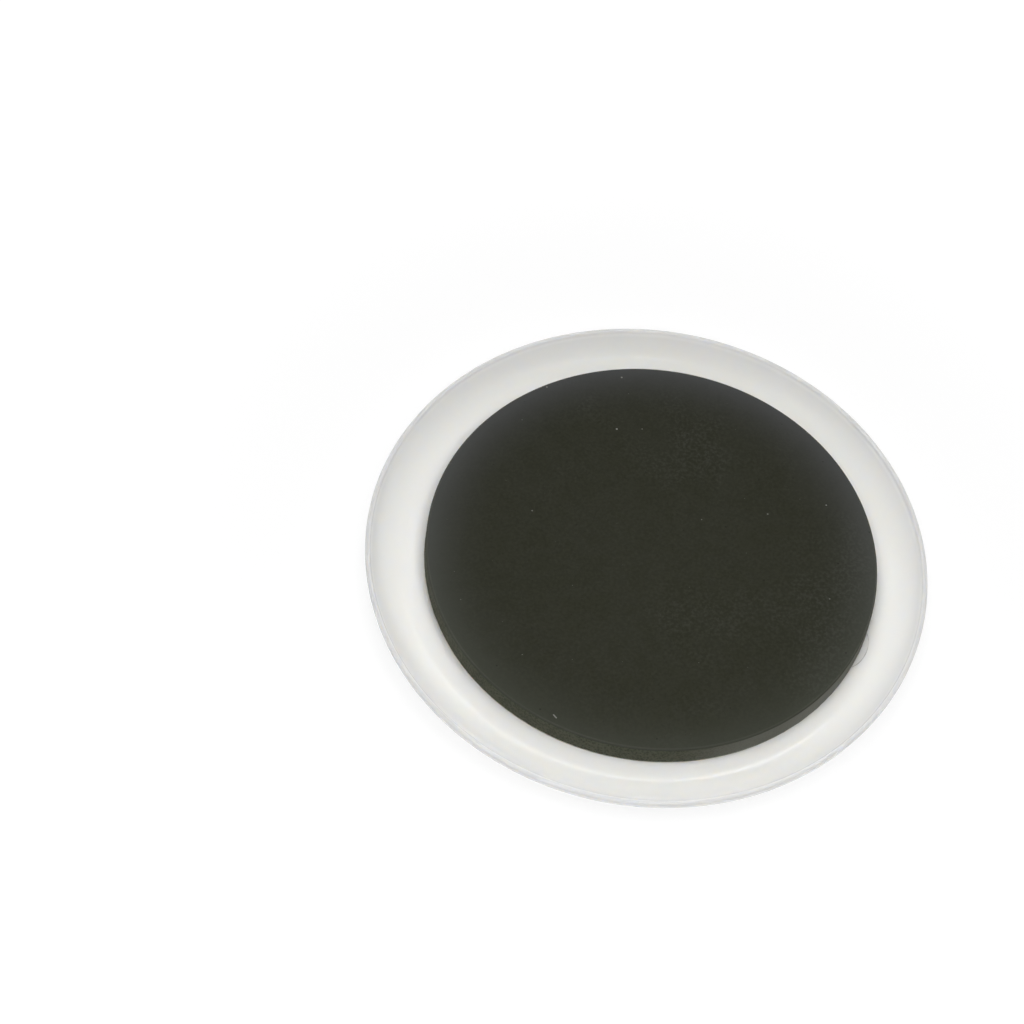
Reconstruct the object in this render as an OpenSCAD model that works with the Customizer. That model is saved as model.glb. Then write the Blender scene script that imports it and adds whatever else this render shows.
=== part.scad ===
// Furniture slider: a round moulded dish with a foam pad bonded to its floor.
// Millimetres, +Z up. The origin is the centre of the glide face, which slides on the floor.
// The dish is one revolved section, a saucer: flat glide face, broad shoulder of two tangent arcs, thin upright land,
// full-round lip, and a flare of one arc inside, so that the wall thins towards the lip.
// The pad and its adhesive are cut from one backed sheet.

/* [Dish] */
// outside diameter, across the land
dish_d = 90; // [60:1:150]
// thickness of the dish under the pad
floor_t = 2.2; // [1.6:0.1:2.8]
// height at which the shoulder ends and the upright land starts
land_z = 4.8; // [4.2:0.1:5.6]
// straight height of the land, at the mould's parting line
land_h = 0.3; // [0.1:0.05:0.6]
// thickness of the lip, which ends in a full round
lip_w = 0.8; // [0.5:0.05:1.4]
// how far the glide face's edge lies inside the land
shoulder_w = 7.6; // [6:0.1:9]
// how far the flat floor's edge lies inside the lip
flare_w = 5.8; // [4:0.1:8]

/* [Pad] */
// thickness of the foam
pad_t = 3.5; // [2:0.1:5]
// flat floor left free around the pad, were it laid dead centre
pad_gap = 2.3; // [1:0.1:8]
// how far the pad was laid off centre, by hand
pad_shift = 0.7; // [0:0.05:0.8]
// softening of the pad's upper edge
pad_edge_r = 0.3; // [0.1:0.05:0.8]
// how much wider the die left the pad's foot than its top, on each side
pad_flare = 0.15; // [0:0.05:0.3]

/* [Adhesive] */
// thickness of the adhesive on the pad's back
adhesive_t = 0.2; // [0.1:0.05:0.5]

/* [Fineness] */
// sides of each revolved piece
turn_facets = 120; // [60:12:180]
// sides of a full circle in a section
arc_facets = 72; // [24:8:120]

/* [Hidden] */

// slope at which the shoulder's wide arc passes into its tight one, four parts in five
bend = asin(4 / 5);
// how far an arc's piece of a section reaches behind its chord, as a share of the chord's distance
hold = 0.1;

dish_r = dish_d / 2;
lip_r = lip_w / 2;
wall_r = dish_r - lip_w;
land_top_z = land_z + land_h;
glide_r = dish_r - shoulder_w;
tight_r = (land_z * sin(bend) - shoulder_w * (1 - cos(bend))) / (sin(bend) + cos(bend) - 1);
wide_r = (shoulder_w - tight_r * (1 - sin(bend))) / sin(bend);
wide_centre = [glide_r, wide_r];
tight_centre = [dish_r - tight_r, land_z];

floor_r = wall_r - flare_w;
flare_h = land_top_z - floor_t;
flare_r = (pow(flare_w, 2) + pow(flare_h, 2)) / (2 * flare_h);
flare_centre = [floor_r, floor_t + flare_r];
flare_sweep = 2 * atan(flare_h / flare_w);

pad_r = floor_r - pad_gap;
pad_foot_r = pad_r + pad_flare;
pad_z = floor_t + adhesive_t;
pad_top_z = pad_z + pad_t;
pad_edge_z = pad_top_z - pad_edge_r;

// Point at a distance and an angle from a centre.
function at(centre, r, angle) = centre + r * [cos(angle), sin(angle)];

// Rectangle in a section, from one corner to the opposite one.
module box(low, high) {
    translate(low)
        square(high - low);
}

// Quarter of a disc above its centre, to the left or the right of it.
module quarter_above(centre, r, to_left) {
    translate(centre)
        intersection() {
            circle(r = r, $fn = arc_facets);
            mirror([to_left ? 1 : 0, 0])
                square(r);
        }
}

// Part of a disc between an arc and its chord, with a little more behind the chord to hold on to.
module arc_segment(centre, r, from, to) {
    middle = (from + to) / 2;
    chord_r = r * cos(middle - from);
    intersection() {
        translate(centre)
            circle(r = r, $fn = arc_facets);
        polygon([
            at(centre, chord_r * (1 - hold), middle),
            at(centre, r, from),
            at(centre, 2 * r, middle),
            at(centre, r, to)
        ]);
    }
}

// The dish filled up to the top of its land.
module full_section() {
    polygon([
        [0, 0],
        [glide_r, 0],
        at(tight_centre, tight_r, bend - 90),
        [dish_r, land_z],
        [dish_r, land_top_z],
        [0, land_top_z]
    ]);
    arc_segment(wide_centre, wide_r, -90, bend - 90);
    arc_segment(tight_centre, tight_r, bend - 90, 0);
}

// The hollow of the dish: flat floor, then one arc out to the lip.
module hollow_section() {
    polygon([
        [0, floor_t],
        [floor_r, floor_t],
        [wall_r, land_top_z],
        [0, land_top_z]
    ]);
    arc_segment(flare_centre, flare_r, -90, flare_sweep - 90);
}

module dish_section() {
    difference() {
        full_section();
        hollow_section();
    }
    quarter_above([dish_r - lip_r, land_top_z], lip_r, false);
    quarter_above([dish_r - lip_r, land_top_z], lip_r, true);
}

module pad_section() {
    polygon([
        [0, pad_z],
        [pad_foot_r, pad_z],
        [pad_r, pad_edge_z],
        [0, pad_edge_z]
    ]);
    box([0, pad_edge_z], [pad_r - pad_edge_r, pad_top_z]);
    quarter_above([pad_r - pad_edge_r, pad_edge_z], pad_edge_r, false);
}

// White moulded dish that glides on the floor.
module glide_shell() {
    color([0.9, 0.9, 0.88])
        rotate_extrude($fn = turn_facets)
            dish_section();
}

// Adhesive between the dish floor and the pad.
module adhesive_disc() {
    color([0.8, 0.78, 0.68])
        translate([pad_shift, 0, floor_t])
            cylinder(r = pad_foot_r, h = adhesive_t, $fn = turn_facets);
}

// Dark foam disc that the furniture leg stands on.
module foam_pad() {
    color([0.19, 0.2, 0.17])
        translate([pad_shift, 0, 0])
            rotate_extrude($fn = turn_facets)
                pad_section();
}

glide_shell();
adhesive_disc();
foam_pad();
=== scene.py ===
# %% [markdown]
# # A furniture slider
# A furniture slider goes under the leg of a heavy piece of furniture so that it can be pushed across
# a floor. It is a shallow dish of slippery white plastic with a disc of dark foam stuck inside: the
# dish slides, the foam grips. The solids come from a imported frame, already at their real size, in
# metres and with +Z up. This lesson dresses them: first the camera, then the dish, the foam and the
# adhesive, each with its own finish, and last the table and the light.

# %% Load the frame
import math

import bpy
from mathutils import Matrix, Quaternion, Vector


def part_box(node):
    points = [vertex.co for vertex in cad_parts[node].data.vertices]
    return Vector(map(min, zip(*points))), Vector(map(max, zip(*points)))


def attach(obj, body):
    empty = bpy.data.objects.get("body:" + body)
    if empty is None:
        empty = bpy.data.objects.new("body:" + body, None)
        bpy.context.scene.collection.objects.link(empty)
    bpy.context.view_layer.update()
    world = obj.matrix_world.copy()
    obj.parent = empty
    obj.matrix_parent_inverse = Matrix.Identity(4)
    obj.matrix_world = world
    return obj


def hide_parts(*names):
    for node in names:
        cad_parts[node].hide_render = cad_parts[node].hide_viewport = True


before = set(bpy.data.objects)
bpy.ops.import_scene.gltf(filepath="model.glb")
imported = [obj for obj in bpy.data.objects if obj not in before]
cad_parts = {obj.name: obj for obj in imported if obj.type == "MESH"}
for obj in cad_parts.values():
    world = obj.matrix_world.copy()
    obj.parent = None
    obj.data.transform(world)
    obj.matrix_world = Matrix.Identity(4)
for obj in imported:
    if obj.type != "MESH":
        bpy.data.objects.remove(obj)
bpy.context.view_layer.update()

dish_low, dish_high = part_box("glide_shell")
film_low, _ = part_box("adhesive_disc")
pad_low, pad_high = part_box("foam_pad")

dish_radius = (dish_high.x - dish_low.x) / 2
dish_height = dish_high.z
floor_height = film_low.z
pad_centre = Vector(((pad_low.x + pad_high.x) / 2, 0.0, 0.0))
pad_foot_radius = (pad_high.x - pad_low.x) / 2
print(f"dish {dish_radius * 2:.4f} m across and {dish_height:.4f} m high")
print(f"pad foot {pad_foot_radius * 2:.4f} m across, laid {pad_centre.x:.4f} m off centre")

# %% [markdown]
# ## The camera
# The slider is seen from the front and well above, a little turned, through a long lens that keeps
# the round dish round. A camera can be placed by hand and nudged until it fits. Here it is given as
# a point that it looks at, a direction and a distance, and a roll about its own axis, so that each
# number says one thing.

# %% Camera
aim = Vector((-0.02134, 0.01006, 0.0))
camera_distance = 0.3759
camera_elevation = math.radians(56.09)
camera_azimuth = math.radians(-5.4)
camera_roll = math.radians(6.5)
focal_length_mm = 80.86
sensor_width_mm = 36.0
nearest_seen = 0.01


def add_object(name, data):
    """A new object in the scene for that camera, mesh or lamp."""
    added = bpy.data.objects.new(name, data)
    bpy.context.scene.collection.objects.link(added)
    return added


camera_data = bpy.data.cameras.new("camera")
camera_data.lens = focal_length_mm
camera_data.sensor_width = sensor_width_mm
camera_data.clip_start = nearest_seen
camera = add_object("camera", camera_data)
towards_camera = Vector((
    math.sin(camera_azimuth) * math.cos(camera_elevation),
    -math.cos(camera_azimuth) * math.cos(camera_elevation),
    math.sin(camera_elevation),
))
upright_view = (-towards_camera).to_track_quat("-Z", "Y")
camera.location = aim + towards_camera * camera_distance
camera.rotation_mode = "QUATERNION"
camera.rotation_quaternion = upright_view @ Quaternion((0, 0, 1), camera_roll)
bpy.context.scene.camera = camera
bpy.context.scene.view_settings.view_transform = "Standard"
print("camera at", [round(c, 4) for c in camera.location])

# %% [markdown]
# ## Writing node trees as sums
# Finishes and shapes below are both node trees. A tree can be wired by hand in the editor, but in a
# script the wiring soon hides the idea. One small class helps: it wraps a socket, and a sum on it
# adds the Math nodes. Its method node adds a node of any other kind, with its settings first and
# then what goes into its sockets, and a few short methods name the nodes that are used most.

# %% A socket that takes part in sums


class Value:
    """A socket of a node tree. Sums on it add Math nodes, and node() adds a node of any other kind."""

    def __init__(self, tree, socket=None):
        self.tree = tree
        self.socket = socket

    def node(self, kind, settings=None, inputs=None, out=0):
        made = self.tree.nodes.new(kind)
        for name, setting in (settings or {}).items():
            # an Index Switch starts with two choices and gets the others here
            if name == "items":
                while len(made.index_switch_items) < setting:
                    made.index_switch_items.new()
            else:
                setattr(made, name, setting)
        for name, value in (inputs or {}).items():
            if isinstance(value, Value):
                self.tree.links.new(value.socket, made.inputs[name])
            else:
                made.inputs[name].default_value = value
        return Value(self.tree, made.outputs[out] if made.outputs else None)

    def also(self, output):
        """Another output of the node that this value comes from."""
        return Value(self.tree, self.socket.node.outputs[output])

    def through(self, operation, other=0.0):
        """This number put through a Math node, with a second one where the operation takes two."""
        return self.node("ShaderNodeMath", {"operation": operation}, {0: self, 1: other})

    def __add__(self, other):
        return self.through("ADD", other)

    def __sub__(self, other):
        return self.through("SUBTRACT", other)

    def __rsub__(self, other):
        return self.node("ShaderNodeMath", {"operation": "SUBTRACT"}, {0: other, 1: self})

    def __mul__(self, other):
        return self.through("MULTIPLY", other)

    def __truediv__(self, other):
        return self.through("DIVIDE", other)

    def __pow__(self, other):
        return self.through("POWER", other)

    def __gt__(self, other):
        return self.through("GREATER_THAN", other)

    __radd__ = __add__
    __rmul__ = __mul__

    def ramp(self, start, end, low=0.0, high=1.0):
        """Goes smoothly from low to high while this number goes from start to end."""
        return self.node(
            "ShaderNodeMapRange",
            {"interpolation_type": "SMOOTHSTEP"},
            {"Value": self, "From Min": start, "From Max": end, "To Min": low, "To Max": high},
        )

    def blend(self, first, second):
        """The first colour where this number is 0, the second where it is 1."""
        return self.node("ShaderNodeMix", {"data_type": "RGBA"}, {0: self, 6: first, 7: second}, out=2)

    def vector(self, operation, other=(0.0, 0.0, 0.0), out="Vector"):
        """This vector put through a Vector Math node."""
        return self.node("ShaderNodeVectorMath", {"operation": operation}, {0: self, 1: other}, out)

    def axis(self, letter):
        """One of the three numbers of this vector."""
        return self.node("ShaderNodeSeparateXYZ", {}, {0: self}, letter)

    def flat(self):
        """This vector without its height."""
        return self.vector("MULTIPLY", (1.0, 1.0, 0.0))

    def length(self):
        """How long this vector is."""
        return self.vector("LENGTH", out="Value")


def scaled(build, vector, factor):
    """A vector, given or from a node, made longer or shorter by a factor that varies."""
    return build.node("ShaderNodeVectorMath", {"operation": "SCALE"}, {0: vector, "Scale": factor})


def noise(build, where, scale, detail=2.0, roughness=0.5):
    """Soft noise with about that many bumps to the metre."""
    return build.node(
        "ShaderNodeTexNoise",
        {},
        {"Vector": where, "Scale": scale, "Detail": detail, "Roughness": roughness},
    )


print("a Value can be added to, taken from, multiplied, divided, raised and compared")

# %% [markdown]
# ## A turned section
# The dish and the pad are both round, so each is a section turned about the Z axis. Blender's Screw
# modifier does that to a mesh outline. Geometry Nodes can do it from the sizes alone: a short line
# gets one point per corner of the section, Fillet Curve rounds each corner by its own radius, and a
# grid is wrapped round the axis so that its columns follow the section. Long straight runs are cut
# into short steps, which keeps the smooth shading even.

# %% The tree that turns a section
arc_steps = 20
join_distance = 1e-7


def start_tree(name, labels):
    """An empty Geometry Nodes tree with named sizes, and those sizes as values to sum with."""
    tree = bpy.data.node_groups.new(name, "GeometryNodeTree")
    for label in labels:
        tree.interface.new_socket(label, in_out="INPUT", socket_type="NodeSocketFloat")
    tree.interface.new_socket("Geometry", in_out="OUTPUT", socket_type="NodeSocketGeometry")
    given = tree.nodes.new("NodeGroupInput")
    return Value(tree), {label: Value(tree, given.outputs[label]) for label in labels}


def choose(build, data_type, choices):
    """A field that takes one of the choices by the point's index."""
    inputs = {0: build.node("GeometryNodeInputIndex")}
    inputs.update({place + 1: choice for place, choice in enumerate(choices)})
    settings = {"data_type": data_type, "items": len(choices)}
    return build.node("GeometryNodeIndexSwitch", settings, inputs)


def placed(build, geometry, position):
    """The geometry with each of its points moved to a position."""
    return build.node("GeometryNodeSetPosition", {}, {"Geometry": geometry, "Position": position})


def straight_line(build, count):
    """A curve of that many points, to be placed one by one."""
    line = build.node("GeometryNodeCurvePrimitiveLine")
    return build.node("GeometryNodeResampleCurve", {}, {"Curve": line, "Count": count})


def rounded_section(build, corners, flat_step, wall_step):
    """A curve through (radius, height, rounding) corners, with its long runs cut into steps."""
    points = [build.node("ShaderNodeCombineXYZ", {}, {"X": r, "Z": z}) for r, z, _ in corners]
    roundings = [rounding for _, _, rounding in corners]
    line = placed(build, straight_line(build, len(corners)), choose(build, "VECTOR", points))
    line = build.node(
        "GeometryNodeFilletCurve",
        {"mode": "POLY"},
        {"Curve": line, "Count": arc_steps, "Radius": choose(build, "FLOAT", roundings)},
    )
    here = build.node("GeometryNodeInputPosition")
    index = build.node("GeometryNodeInputIndex")
    following = build.node(
        "GeometryNodeFieldAtIndex",
        {"data_type": "FLOAT_VECTOR"},
        {"Value": here, "Index": index + 1},
    )
    run = following.vector("SUBTRACT", here)
    length = run.length()
    upright = run.axis("Z").through("ABSOLUTE") / (length + join_distance)
    cuts = length / (flat_step + upright * (wall_step - flat_step))
    return build.node(
        "GeometryNodeSubdivideCurve", {}, {"Curve": line, "Cuts": cuts.through("FLOOR")}
    )


def turned(build, section, turns):
    """The section wrapped round the Z axis in that many turns, joined at the seam and on the axis."""
    count = build.node("GeometryNodeAttributeDomainSize", {"component": "CURVE"}, {0: section})
    grid = build.node("GeometryNodeMeshGrid", {}, {"Vertices X": turns + 1, "Vertices Y": count})
    index = build.node("GeometryNodeInputIndex")
    turn = (index / count).through("FLOOR")
    point = build.node(
        "GeometryNodeSampleIndex",
        {"data_type": "FLOAT_VECTOR"},
        {
            "Geometry": section,
            "Value": build.node("GeometryNodeInputPosition"),
            "Index": index - turn * count,
        },
    )
    radius = point.axis("X")
    angle = turn * (2 * math.pi / turns)
    place = build.node(
        "ShaderNodeCombineXYZ",
        {},
        {
            "X": radius * angle.through("COSINE"),
            "Y": radius * angle.through("SINE"),
            "Z": point.axis("Z"),
        },
    )
    return build.node(
        "GeometryNodeMergeByDistance",
        {},
        {"Geometry": placed(build, grid, place), "Distance": join_distance},
    )


print("a rounded corner gets", arc_steps, "steps")

# %% [markdown]
# ## From a tree to a piece
# A modifier runs a tree on an object. Its sizes are set by each socket's identifier before the object
# is first evaluated. The result is then kept as a plain mesh and the modifier is taken off, so that
# the piece can be exported and used without the tree.

# %% The end of a tree


def finished_piece(build, geometry, name, material, sizes):
    """Ends the tree, sets its sizes on a modifier and keeps the result as a plain mesh object."""
    geometry = build.node("GeometryNodeSetShadeSmooth", {}, {"Geometry": geometry})
    geometry = build.node("GeometryNodeRealizeInstances", {}, {"Geometry": geometry})
    geometry = build.node("GeometryNodeSetMaterial", {}, {"Geometry": geometry, "Material": material})
    build.node("NodeGroupOutput", {}, {"Geometry": geometry})
    piece = add_object(name, bpy.data.meshes.new(name))
    modifier = piece.modifiers.new(name, "NODES")
    modifier.node_group = build.tree
    for item in build.tree.interface.items_tree:
        if item.in_out == "INPUT":
            modifier[item.identifier] = sizes[item.name]
    depsgraph = bpy.context.evaluated_depsgraph_get()
    mesh = bpy.data.meshes.new_from_object(piece.evaluated_get(depsgraph), depsgraph=depsgraph)
    piece.modifiers.clear()
    piece.data = mesh
    print(f"{name}: {len(mesh.vertices)} points, {len(mesh.polygons)} faces")
    return piece


print("a tree ends in smooth shading, Realize Instances and Set Material")

# %% [markdown]
# ## Starting a finish
# Each finish is one Principled shader. A number that is the same all over goes straight on its
# socket. What varies is worked out from the place on the piece, in the object's own coordinates, so
# that a pattern stays on the piece from every side.

# %% Helpers for finishes


def new_finish(name):
    """A material with its Principled shader, a value to sum with and the place on the piece."""
    material = bpy.data.materials.new(name)
    material.use_nodes = True
    surface = material.node_tree.nodes["Principled BSDF"]
    build = Value(material.node_tree)
    where = build.node("ShaderNodeTexCoord", out="Object")
    return material, surface, build, where


def bumps(build, height, strength, depth):
    """A normal that leans as if the surface had that height, with bumps of that depth."""
    return build.node(
        "ShaderNodeBump", {}, {"Strength": strength, "Distance": depth, "Height": height}
    )


def set_surface(surface, numbers, build, links):
    """Plain numbers go straight on the shader's sockets, and what varies is linked to them."""
    for name, number in numbers.items():
        surface.inputs[name].default_value = number
    for name, value in links.items():
        build.tree.links.new(value.socket, surface.inputs[name])


print("a finish starts from Object coordinates and a Principled shader")

# %% [markdown]
# ## The dish's section
# The dish is one moulding, shaped like a saucer: a flat glide face below, a broad shoulder, a thin
# upright land where the halves of the mould met, a thin round lip, and inside a flare that sweeps
# down to the flat floor. The frame gives its width, its height and the height of the floor. The
# widths within the section are set here, because both the finish and the shape need them.

# %% Sizes of the dish's section
lip_width = 0.0008
land_height = 0.0003
shoulder_width = 0.0076
flare_width = 0.0058
shoulder_slope = math.asin(4 / 5)

wall_radius = dish_radius - lip_width
crown_radius = dish_radius - lip_width / 2
land_top = dish_height - lip_width / 2
print(f"the lip stands between {wall_radius:.4f} and {dish_radius:.4f} m from the axis")

# %% [markdown]
# ## White moulded plastic
# The dish is moulded in polyethylene: white, waxy and a little see-through, with a satin gloss. A
# plain white Principled shader looks like plaster. Three things make it plastic: light that travels
# about a millimetre under the skin, a gloss that is a little uneven, and a faint cloudiness in the
# white. The white is also painted greyer from the floor out to the thin lip: painted shade, which in
# part stands for light that leaks out of the thin wall. In the crease beside the lip and on the
# shoulder below it the white is painted lighter: painted light that lifts their shade.

# %% The dish's plastic
thick_white = (0.94, 0.945, 0.905, 1.0)
thin_wall_painted_shade_white = (0.865, 0.866, 0.86, 1.0)
crease_painted_light_white = (0.96, 0.96, 0.95, 1.0)
lip_painted_shade_white = (0.77, 0.77, 0.765, 1.0)
shoulder_painted_light_white = (0.96, 0.96, 0.945, 1.0)
cloudy_white = (0.9, 0.9, 0.89, 1.0)

thinning_and_shade_radius = 0.037
crease_width = 0.0005
lip_fade = 0.0001
crown_fade = 0.0003
land_fade = 0.0005
cloud_scale = 25.0
peel_scale = 900.0
grain_scale = 6000.0
peel_depth = 0.00004
plastic_scatter = 0.0012


def moulded_plastic():
    """Waxy white plastic with a faint orange peel; its white, with painted shade and light, follows
    radius and height.
    """
    material, surface, build, where = new_finish("white_polyethylene")
    radius = where.flat().length()
    height = where.axis("Z")
    cloud = noise(build, where, cloud_scale, 0.0)
    peel = noise(build, where, peel_scale, 2.0)
    grain = noise(build, where, grain_scale, 1.0)

    thin_and_painted_shade = radius.ramp(thinning_and_shade_radius, crown_radius)
    crease_painted_light = radius.ramp(wall_radius - crease_width, wall_radius)
    crease_painted_light = crease_painted_light * (1 - radius.ramp(wall_radius + lip_fade, crown_radius))
    lip = radius.ramp(wall_radius, crown_radius)
    above_land = height.ramp(land_top - land_fade, land_top + lip_fade)
    crown = above_land * radius.ramp(crown_radius, crown_radius + crown_fade, 1.0, 0.45)

    # painted shade: the white greys from the floor out to the lip, in part for the thin wall
    white = thin_and_painted_shade.blend(thick_white, thin_wall_painted_shade_white)
    # painted light in the crease beside the lip, lifting the shade that the lip casts there
    white = crease_painted_light.blend(white, crease_painted_light_white)
    # painted shade on the lip, in part for light that leaks out of its thin wall
    white = lip.blend(white, lip_painted_shade_white)
    # painted light on the shoulder below the land, lifting its shade
    white = (lip * (1 - crown)).blend(white, shoulder_painted_light_white)
    white = (cloud * 0.1).blend(white, cloudy_white)
    set_surface(
        surface,
        {
            "Subsurface Weight": 1.0,
            "Subsurface Radius": (1.0, 0.95, 0.85),
            "Subsurface Scale": plastic_scatter,
            "IOR": 1.5,
        },
        build,
        {
            "Base Color": white,
            "Roughness": cloud.ramp(0.2, 0.8, 0.11, 0.15),
            "Normal": bumps(build, peel + grain * 0.2, 0.12, peel_depth),
        },
    )
    return material


plastic = moulded_plastic()
print("finish:", plastic.name)

# %% [markdown]
# ## The dish
# A shoulder of two tangent arcs is a corner cut off at a slope with both ends rounded, and the flare
# is one rounded corner, so the whole section is eight corners, each with a radius. A change of one
# size keeps the rest in step.

# %% The dish's shape
dish_turns = 288
dish_step = 0.0008


def dish_corners(size):
    """The (radius, height, rounding) corners, from the axis below round to the axis above."""
    slope_sine = math.sin(shoulder_slope)
    slope_cosine = math.cos(shoulder_slope)
    radius = size["Radius"]
    height = size["Height"]
    floor = size["Floor height"]
    shoulder = size["Shoulder width"]
    lip_round = size["Lip width"] / 2
    top_of_land = height - lip_round
    foot_of_land = top_of_land - size["Land height"]

    tight = foot_of_land * slope_sine - shoulder * (1 - slope_cosine)
    tight = tight / (slope_sine + slope_cosine - 1)
    wide = (shoulder - tight * (1 - slope_sine)) / slope_sine
    wide_corner = radius - shoulder + wide * math.tan(shoulder_slope / 2)
    tight_corner = foot_of_land - tight * math.tan((math.pi / 2 - shoulder_slope) / 2)

    wall = radius - size["Lip width"]
    flare_height = top_of_land - floor
    flare = (size["Flare width"] ** 2 + flare_height ** 2) / (flare_height * 2)
    flare_corner = wall - size["Flare width"] + flare * (flare_height / size["Flare width"])
    return [
        (0.0, 0.0, 0.0),
        (wide_corner, 0.0, wide),
        (radius, tight_corner, tight),
        (radius, height, lip_round),
        (wall, height, lip_round),
        (wall, top_of_land, 0.0),
        (flare_corner, floor, flare),
        (0.0, floor, 0.0),
    ]


dish_sizes = {
    "Radius": dish_radius,
    "Height": dish_height,
    "Lip width": lip_width,
    "Land height": land_height,
    "Shoulder width": shoulder_width,
    "Flare width": flare_width,
    "Floor height": floor_height,
}
build, size = start_tree("turned dish", dish_sizes)
section = rounded_section(build, dish_corners(size), dish_step, dish_step)
dish = finished_piece(build, turned(build, section, dish_turns), "dish", plastic, dish_sizes)
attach(dish, "root")
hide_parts("glide_shell")

# %% [markdown]
# ## Pits, specks and dust
# Foam that has been handled is never clean. A Voronoi texture has one random cell point per square of
# a grid, so a small disc round each point gives scattered dots, and the cell's own random colour
# makes most of them tiny. A few larger specks and one short fibre are listed one by one.

# %% Dots and dust
dot_rarity = 3.0
dust_marks = [
    (-0.0051, 0.0233, 0.00022),
    (-0.0040, 0.0340, 0.0002),
    (-0.0166, 0.0314, 0.0002),
    (0.0287, 0.0096, 0.00018),
]
fibre_start = Vector((-0.0161, -0.0306, 0.0))
fibre_end = Vector((-0.0157, -0.0311, 0.0))
fibre_core = 0.00005
fibre_edge = 0.00014


def dots(build, flat, spacing, smallest, largest):
    """1 inside small dots, one to a cell of that spacing, each of its own size, and 0 elsewhere."""
    near = build.node(
        "ShaderNodeTexVoronoi", {"voronoi_dimensions": "2D"}, {"Vector": flat, "Scale": 1 / spacing}
    )
    chance = build.node("ShaderNodeSeparateColor", {}, {0: near.also("Color")})
    reach = (smallest + chance ** dot_rarity * (largest - smallest)) / spacing
    return 1 - near.ramp(reach * 0.5, reach)


def dust(build, flat):
    """1 on one short fibre and on a few larger specks."""
    fibre = fibre_end - fibre_start
    from_start = flat.vector("SUBTRACT", fibre_start)
    along = from_start.vector("DOT_PRODUCT", fibre, out="Value") / fibre.length_squared
    along = along.through("MAXIMUM", 0.0).through("MINIMUM", 1.0)
    gap = from_start.vector("DISTANCE", scaled(build, fibre, along), out="Value")
    found = 1 - gap.ramp(fibre_core, fibre_edge)
    for x, y, reach in dust_marks:
        gap = flat.vector("DISTANCE", (x, y, 0.0), out="Value")
        found = found.through("MAXIMUM", 1 - gap.ramp(reach * 0.4, reach))
    return found


print(len(dust_marks), "specks and a fibre of", round((fibre_end - fibre_start).length, 5), "m")

# %% [markdown]
# ## Dark foam
# The pad is closed-cell foam, olive-black and dull. Its face is skinned and almost smooth, with a fine
# grain, small pits with painted shade in them and pale specks of dust. Towards the edge it is painted
# greyer: painted light for the glow that the white rim throws on the foam, with less of it on the near
# side. The cut wall shows the opened cells, so it is paler and rougher, and paler still towards its
# front right side. A painted highlight runs along its upper edge, weaker on the near side. Masks for
# all of these are sums on the place from the pad's own axis, the height, and noise.

# %% The pad's foam
face_dark = (0.0174, 0.0182, 0.0113, 1.0)
face_light = (0.0236, 0.0245, 0.0157, 1.0)
near_painted_glow = (0.056, 0.06, 0.047, 1.0)
far_painted_glow = (0.066, 0.0675, 0.0675, 1.0)
smudge_grey = (0.075, 0.076, 0.068, 1.0)
pit_painted_shade = (0.008, 0.008, 0.006, 1.0)
dust_pale = (0.2, 0.2, 0.18, 1.0)
cell_dark = (0.045, 0.0475, 0.031, 1.0)
cell_light = (0.088, 0.092, 0.064, 1.0)
front_right_pale = (0.165, 0.167, 0.142, 1.0)
edge_painted_highlight = (0.085, 0.087, 0.07, 1.0)

pad_flare = 0.00015
pad_top_radius = pad_foot_radius - pad_flare
face_skin = 0.0002
clear_radius = 0.024
haze_width = 0.012
haze_power = 2.6
haze_least_y = -0.036
haze_most_y = 0.004
haze_tint_reach = 0.03
edge_least_y = -0.03
edge_most_y = -0.012
pit_spacing = 0.006
pit_sizes = (0.00004, 0.00022)
speck_spacing = 0.0095
speck_sizes = (0.00003, 0.00018)
pale_side_angle = math.radians(-46.0)
pale_side_direction = Vector((math.cos(pale_side_angle), math.sin(pale_side_angle), 0.0))
pale_band = (0.027, 0.0345)
palest_band = (0.0352, 0.0361)
mottle_scale = 110.0
smudge_scale = 48.0
foam_grain_scale = 1900.0
cell_scale = 2600.0
pore_depth = 0.00008


def foam_face(build, where, flat, mottle, grain):
    """The colour of the skinned face: grain, a painted glow towards the edge, smudges, painted shade
    in pits, and specks.
    """
    backwards = flat.axis("Y")
    face = (mottle * 0.45 + grain * 0.55).ramp(0.36, 0.64).blend(face_dark, face_light)
    edge = (flat.length() - clear_radius) * (1 / haze_width)
    edge = edge.through("MAXIMUM", 0.0) ** haze_power
    # painted light: a glow towards the edge for the light that the white rim throws on the foam, less
    # near
    painted_glow = edge * backwards.ramp(haze_least_y, haze_most_y, 0.5, 1.0) * (0.7 + mottle * 0.6)
    grey = backwards.ramp(-haze_tint_reach, haze_tint_reach).blend(near_painted_glow, far_painted_glow)
    face = painted_glow.through("MINIMUM", 1.0).blend(face, grey)
    smudge = noise(build, where, smudge_scale, 3.0).ramp(0.54, 0.74) * grain.ramp(0.42, 0.7)
    face = (smudge * 0.22).blend(face, smudge_grey)
    # painted shade: small dark dots for the shade inside pits in the skin
    pit_shade = dots(build, flat, pit_spacing, *pit_sizes)
    face = (pit_shade * 0.6).blend(face, pit_painted_shade)
    specks = dots(build, flat, speck_spacing, *speck_sizes) * 0.55
    return specks.through("MAXIMUM", dust(build, flat)).blend(face, dust_pale)


def foam_wall(flat, cells):
    """The colour of the cut wall: opened cells, palest towards the front right side."""
    wall = cells.ramp(0.1, 0.7).blend(cell_dark, cell_light)
    # the wall is paler towards its front right side
    towards_pale_side = flat.vector("DOT_PRODUCT", pale_side_direction, out="Value")
    paler_side_share = towards_pale_side.ramp(*pale_band) * 0.7 + towards_pale_side.ramp(*palest_band) * 0.3
    return paler_side_share.blend(wall, front_right_pale)


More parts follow.
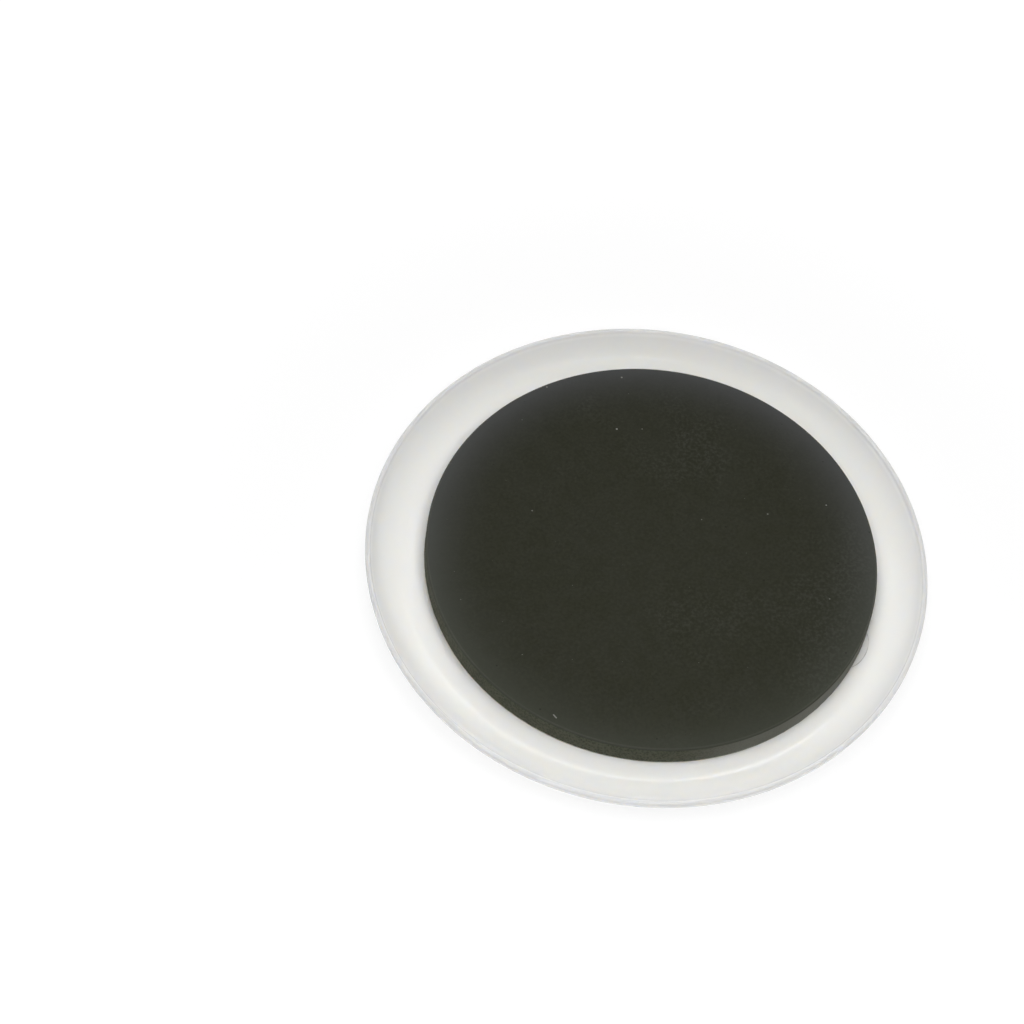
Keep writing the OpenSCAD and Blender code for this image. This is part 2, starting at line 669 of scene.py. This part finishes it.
def closed_cell_foam():
    """Dull foam: the face above, the cut wall below, and a painted highlight where they meet."""
    material, surface, build, where = new_finish("olive_black_foam")
    place = where.vector("SUBTRACT", pad_centre)
    flat = place.flat()
    mottle = noise(build, where, mottle_scale, 4.0, 0.6)
    grain = noise(build, where, foam_grain_scale, 2.0, 0.6)
    cells = build.node("ShaderNodeTexVoronoi", {}, {"Vector": where, "Scale": cell_scale})

    skinned = place.axis("Z").ramp(pad_high.z - 2 * face_skin, pad_high.z - face_skin)
    cut = 1 - skinned
    colour = cut.blend(foam_face(build, where, flat, mottle, grain), foam_wall(flat, cells))
    # painted highlight along the upper edge, weaker on the near side
    painted_edge_highlight = flat.length().ramp(pad_top_radius - 2 * face_skin, pad_top_radius - face_skin)
    painted_edge_highlight = painted_edge_highlight * skinned * flat.axis("Y").ramp(edge_least_y, edge_most_y, 0.65, 1.0)
    colour = (painted_edge_highlight * 0.6).blend(colour, edge_painted_highlight)
    relief = cells.ramp(0.0, 0.6) * (0.15 + cut * 0.85) + mottle * 0.5 + grain * 0.3
    set_surface(
        surface,
        {"Specular IOR Level": 0.25},
        build,
        {
            "Base Color": colour,
            "Roughness": mottle.ramp(0.2, 0.8, 0.78, 0.92),
            "Normal": bumps(build, relief, 0.35, pore_depth),
        },
    )
    return material


foam = closed_cell_foam()
print("finish:", foam.name)

# %% [markdown]
# ## The pad
# The disc is cut from sheet with a die, which leaves a crisp upper edge and a foot that is a little
# wider and a little ragged. It is the same turned section as the dish with other corners. Noise then
# moves the points: the foot by up to a tenth of a millimetre, the upper edge hardly at all, and the
# face by the slight unevenness that sheet foam has.

# %% The pad's shape
pad_edge_radius = 0.0003
pad_turns = 720
pad_flat_step = 0.0012
pad_wall_step = 0.00025
foot_raggedness = 0.00016
face_unevenness = 0.00006
tear_scale = 900.0
swell_scale = 110.0


def pad_corners(size):
    """The (radius, height, rounding) corners, from the axis below round to the axis above."""
    return [
        (0.0, size["Foot height"], 0.0),
        (size["Foot radius"], size["Foot height"], 0.0),
        (size["Foot radius"] - size["Flare"], size["Top height"], size["Edge radius"]),
        (0.0, size["Top height"], 0.0),
    ]


def ragged(build, geometry, size):
    """Moves points by noise: the wall in and out, more at its foot, and the face up and down."""
    here = build.node("GeometryNodeInputPosition")
    flat = here.flat()
    height = here.axis("Z")
    rim = size["Foot radius"] - size["Flare"] - size["Edge radius"] * 2
    on_wall = flat.length().ramp(rim, rim + size["Edge radius"])
    on_face = (1 - on_wall) * (height > size["Top height"] - size["Edge radius"])
    below = height.ramp(size["Top height"], size["Foot height"], 0.15, 1.0)
    tear = noise(build, here, tear_scale, 3.0) - 0.5
    swell = noise(build, here, swell_scale, 2.0) - 0.5
    outwards = flat.vector("NORMALIZE")
    sideways = scaled(build, outwards, on_wall * below * tear * size["Raggedness"])
    lift = build.node("ShaderNodeCombineXYZ", {}, {"Z": on_face * swell * size["Unevenness"]})
    shift = sideways.vector("ADD", lift).vector("ADD", pad_centre)
    return build.node("GeometryNodeSetPosition", {}, {"Geometry": geometry, "Offset": shift})


pad_sizes = {
    "Foot radius": pad_foot_radius,
    "Foot height": pad_low.z,
    "Top height": pad_high.z,
    "Flare": pad_flare,
    "Edge radius": pad_edge_radius,
    "Raggedness": foot_raggedness,
    "Unevenness": face_unevenness,
}
build, size = start_tree("die-cut pad", pad_sizes)
section = rounded_section(build, pad_corners(size), pad_flat_step, pad_wall_step)
pad_shape = ragged(build, turned(build, section, pad_turns), size)
pad = finished_piece(build, pad_shape, "pad", foam, pad_sizes)
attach(pad, "root")
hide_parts("foam_pad")

# %% [markdown]
# ## The adhesive
# A film of adhesive holds the pad. Only its edge shows, as a thin line under the foam, so the solid
# from the frame is kept and gets a finish of its own: pale, streaky and a little waxy. The function
# takes its numbers by name, because a strand of the same adhesive follows.

# %% The adhesive's finish
film_dark = (0.55, 0.53, 0.44, 1.0)
film_light = (0.66, 0.64, 0.56, 1.0)


def adhesive_finish(name, dark, light, streak, contrast, relief, depth, scatter):
    """Adhesive with streaks, of that scale and detail, in its colour, its gloss and its relief."""
    material, surface, build, where = new_finish(name)
    streaks = noise(build, where, *streak)
    set_surface(
        surface,
        {"Subsurface Weight": 0.2, "Subsurface Scale": scatter},
        build,
        {
            "Base Color": streaks.ramp(0.5 - contrast, 0.5 + contrast).blend(dark, light),
            "Roughness": streaks.ramp(0.2, 0.8, 0.25, 0.45),
            "Normal": bumps(build, streaks, relief, depth),
        },
    )
    return material


adhesive = adhesive_finish(
    "pale_adhesive",
    film_dark,
    film_light,
    streak=(600.0, 3.0),
    contrast=0.2,
    relief=0.2,
    depth=0.00005,
    scatter=0.0006,
)
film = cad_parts["adhesive_disc"]
film.data.materials.clear()
film.data.materials.append(adhesive)
print("finish:", adhesive.name)

# %% [markdown]
# ## A strand of adhesive
# On the right a thin strand of adhesive was drawn out from under the pad and set on the dish floor as
# a low loop, about seven millimetres long. In Geometry Nodes it is a line of points placed by angle:
# half a sine wave carries the middle of the loop away from the pad's foot, and a small circle swept
# along the points gives it its thickness.

# %% The strand's shape and finish
strand_dark = (0.52, 0.52, 0.47, 1.0)
strand_light = (0.8, 0.8, 0.75, 1.0)
strand_from = math.radians(-19.6)
strand_to = math.radians(-30.6)
strand_reach = 0.0011
strand_tuck = 0.0001
strand_radius = 0.00006
strand_fullness = 0.6
strand_rest = 0.6
strand_points = 64
strand_sides = 12

set_adhesive = adhesive_finish(
    "set_adhesive",
    strand_dark,
    strand_light,
    streak=(900.0, 2.0),
    contrast=0.15,
    relief=0.3,
    depth=0.00003,
    scatter=0.0002,
)
strand_sizes = {
    "From": strand_from,
    "To": strand_to,
    "Foot radius": pad_foot_radius,
    "Reach": strand_reach,
    "Tuck": strand_tuck,
    "Strand radius": strand_radius,
    "Floor height": floor_height,
}
build, size = start_tree("drawn-out strand", strand_sizes)
share = build.node("GeometryNodeSplineParameter", out="Factor")
angle = size["From"] + share * (size["To"] - size["From"])
bulge = (share * math.pi).through("SINE").through("MAXIMUM", 0.0) ** strand_fullness
radius = size["Foot radius"] - size["Tuck"] + bulge * size["Reach"]
place = build.node(
    "ShaderNodeCombineXYZ",
    {},
    {
        "X": radius * angle.through("COSINE") + pad_centre.x,
        "Y": radius * angle.through("SINE"),
        "Z": size["Floor height"] + size["Strand radius"] * strand_rest,
    },
)
ring = build.node(
    "GeometryNodeCurvePrimitiveCircle",
    {},
    {"Resolution": strand_sides, "Radius": size["Strand radius"]},
)
strand_shape = build.node(
    "GeometryNodeCurveToMesh",
    {},
    {
        "Curve": placed(build, straight_line(build, strand_points), place),
        "Profile Curve": ring,
        "Fill Caps": True,
    },
)
strand = finished_piece(build, strand_shape, "adhesive_strand", set_adhesive, strand_sizes)
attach(strand, "root")

# %% [markdown]
# ## The table
# The slider lies on a white table. To the camera the table is mostly glow, white a little way off,
# with just enough plain surface to take the slider's soft shadow. To the light that it passes on it is
# a white surface with a faint glow of its own, which lights the dish's shoulder from below. A Light
# Path node tells the two apart.

# %% Table
table_size = 6.0
table_white = (0.95, 0.95, 0.95, 1.0)
table_grey = (0.18, 0.18, 0.18, 1.0)
plain_black = (0.0, 0.0, 0.0, 1.0)
plain_white = (1.0, 1.0, 1.0, 1.0)
passed_on_glow = 0.3
near_glow = 0.86
near_distance = 0.05
white_distance = 0.15


def seen_directly(build):
    """1 for rays from the camera, also by way of a mirror or glass, and 0 for light passed on."""
    camera_ray = build.node("ShaderNodeLightPath", out="Is Camera Ray")
    seen = camera_ray.through("MAXIMUM", camera_ray.also("Is Glossy Ray"))
    return seen.through("MAXIMUM", camera_ray.also("Is Transmission Ray"))


def table_finish():
    """White to the camera, with a soft shadow, and faintly glowing to everything else."""
    material, surface, build, where = new_finish("white_table")
    seen = seen_directly(build)
    seen_glow = where.length().ramp(near_distance, white_distance, near_glow, 1.0)
    glow = passed_on_glow + seen * (seen_glow - passed_on_glow)
    set_surface(
        surface,
        {"Roughness": 1.0, "Specular IOR Level": 0.0, "Emission Strength": 1.0},
        build,
        {
            "Base Color": seen.blend(table_white, table_grey),
            "Emission Color": glow.blend(plain_black, plain_white),
        },
    )
    return material


half = table_size / 2
table_corners = [(-half, -half, 0.0), (half, -half, 0.0), (half, half, 0.0), (-half, half, 0.0)]
table_mesh = bpy.data.meshes.new("table")
table_mesh.from_pydata(table_corners, [], [(0, 1, 2, 3)])
table_mesh.materials.append(table_finish())
table = add_object("table", table_mesh)
print("table", table_size, "m wide")

# %% [markdown]
# ## The light
# The light is soft and mostly from behind, with one small lamp close above the front: being close, it
# lights the near side of the dish more than the far side. The sky is white to the camera and in the
# gloss, and lights nothing else. The five soft lamps are left out of the gloss, because they would
# burn wide patches into it. Three small lamps and a long thin one do show there: they make short
# highlights, and a line of light round the flare.

# %% Sky and lamps
lamp_aim = Vector((0.0, 0.0, 0.0))


def soft_lamp(name, place, width, depth, power, mirrored=False):
    """A flat lamp of that size, turned towards the slider. Only a mirrored one shows in gloss."""
    data = bpy.data.lights.new(name, "AREA")
    data.shape = "RECTANGLE"
    data.size = width
    data.size_y = depth
    data.energy = power
    lamp = add_object(name, data)
    lamp.location = place
    lamp.rotation_mode = "QUATERNION"
    lamp.rotation_quaternion = (lamp_aim - lamp.location).to_track_quat("-Z", "Y")
    lamp.visible_glossy = mirrored


world = bpy.data.worlds.new("room")
world.use_nodes = True
bpy.context.scene.world = world
sky = world.node_tree.nodes["Background"]
sky.inputs["Color"].default_value = plain_white
strength = seen_directly(Value(world.node_tree))
world.node_tree.links.new(strength.socket, sky.inputs["Strength"])

soft_lamp("near lamp", (0.0, -0.05, 0.15), 0.1, 0.1, 0.168)
soft_lamp("high back lamp", (0.0, 0.6, 0.67), 0.5, 0.5, 1.2)
soft_lamp("middle back lamp", (0.0, 0.7, 0.45), 0.5, 0.3, 0.9)
soft_lamp("low back lamp", (0.0, 0.85, 0.25), 0.5, 0.4, 0.57)
soft_lamp("left lamp", (-0.6, 0.0, 0.6), 0.5, 0.5, 0.37)
soft_lamp("near shine lamp", (0.085, 0.567, 0.665), 0.1, 0.06, 0.13, mirrored=True)
soft_lamp("left shine lamp", (0.19, 0.55, 0.69), 0.1, 0.06, 0.05, mirrored=True)
soft_lamp("right shine lamp", (-0.085, 0.5, 0.745), 0.1, 0.06, 0.05, mirrored=True)
soft_lamp("strip lamp", (0.0, 0.0, 0.9), 0.9, 0.02, 0.45, mirrored=True)
lamps = [made for made in bpy.context.scene.objects if made.type == "LIGHT"]
print(len(lamps), "lamps and a white sky")
